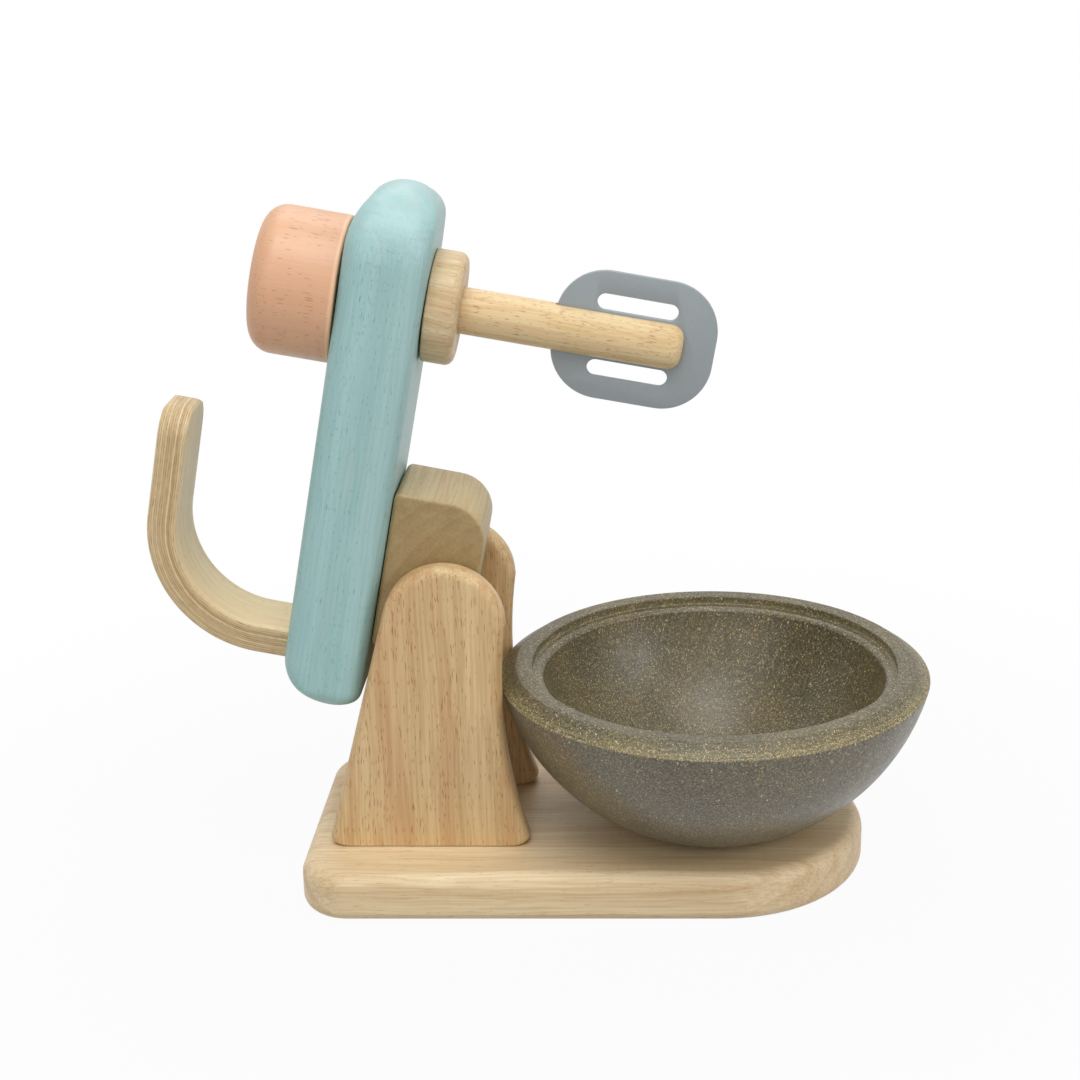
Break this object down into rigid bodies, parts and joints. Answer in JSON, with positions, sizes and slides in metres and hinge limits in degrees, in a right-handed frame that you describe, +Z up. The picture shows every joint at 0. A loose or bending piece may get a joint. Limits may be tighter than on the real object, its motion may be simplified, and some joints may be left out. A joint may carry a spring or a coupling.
{
  "type": "toy stand mixer",
  "caption": "Wooden toy stand mixer with a tilting head, a knob-turned paddle and a loose mixing bowl on a rounded base board.",
  "frame": {"origin": "centre of the base board's underside", "axes": "+X along the base towards the bowl's end, +Y to the mixer's left, +Z up; the head is stored raised"},
  "size_m": [0.2301, 0.13, 0.2091],
  "materials": {
    "light_wood": "pale hardwood, clear satin lacquer",
    "end_grain": "end grain of the same hardwood, clear satin lacquer",
    "plywood": "bent plywood with light and dark plies, clear satin lacquer",
    "teal_wood": "pale teal translucent satin stain",
    "peach_wood": "peach translucent satin stain",
    "speckled_composite": "pressed wood-fibre composite, dark olive with golden flecks, satin",
    "grey_plate": "matte grey coat",
    "dark_rubber": "matte dark rubber",
    "steel": "plain steel"
  },
  "bodies": {
    "stand": {"base_board": "light_wood", "side_support_right": "light_wood", "side_support_left": "light_wood", "support_screw_1": "steel", "support_screw_2": "steel", "support_screw_3": "steel", "support_screw_4": "steel", "pivot_axle": "steel", "pivot_washer_right": "dark_rubber", "pivot_washer_left": "dark_rubber", "stop_dowel": "light_wood"},
    "tilt_head": {"head": "teal_wood", "tilt_block": "end_grain", "block_dowel_1": "light_wood", "block_dowel_2": "light_wood", "handle": "plywood", "handle_screw_1": "steel", "handle_screw_2": "steel"},
    "beater": {"knob": "peach_wood", "knob_washer": "dark_rubber", "collar": "light_wood", "collar_washer": "dark_rubber", "beater_dowel": "light_wood", "paddle": "grey_plate"},
    "loose_bowl": {"bowl": "speckled_composite"}
  },
  "joints": [
    {"name": "head_tilt", "type": "hinge", "parent": "stand", "child": "tilt_head", "pos_m": [-0.0408, 0, 0.0853], "axis": [0, 1, 0], "range_deg": [0, 79]},
    {"name": "beater_turn", "type": "hinge", "parent": "tilt_head", "child": "beater", "pos_m": [-0.05601, 0, 0.17607], "axis": [-0.9848, 0, 0.1736], "continuous": true},
    {"name": "bowl_turn", "type": "hinge", "parent": "stand", "child": "loose_bowl", "pos_m": [0.0381, 0, 0.0155], "axis": [0, 0, 1], "continuous": true}
  ]
}
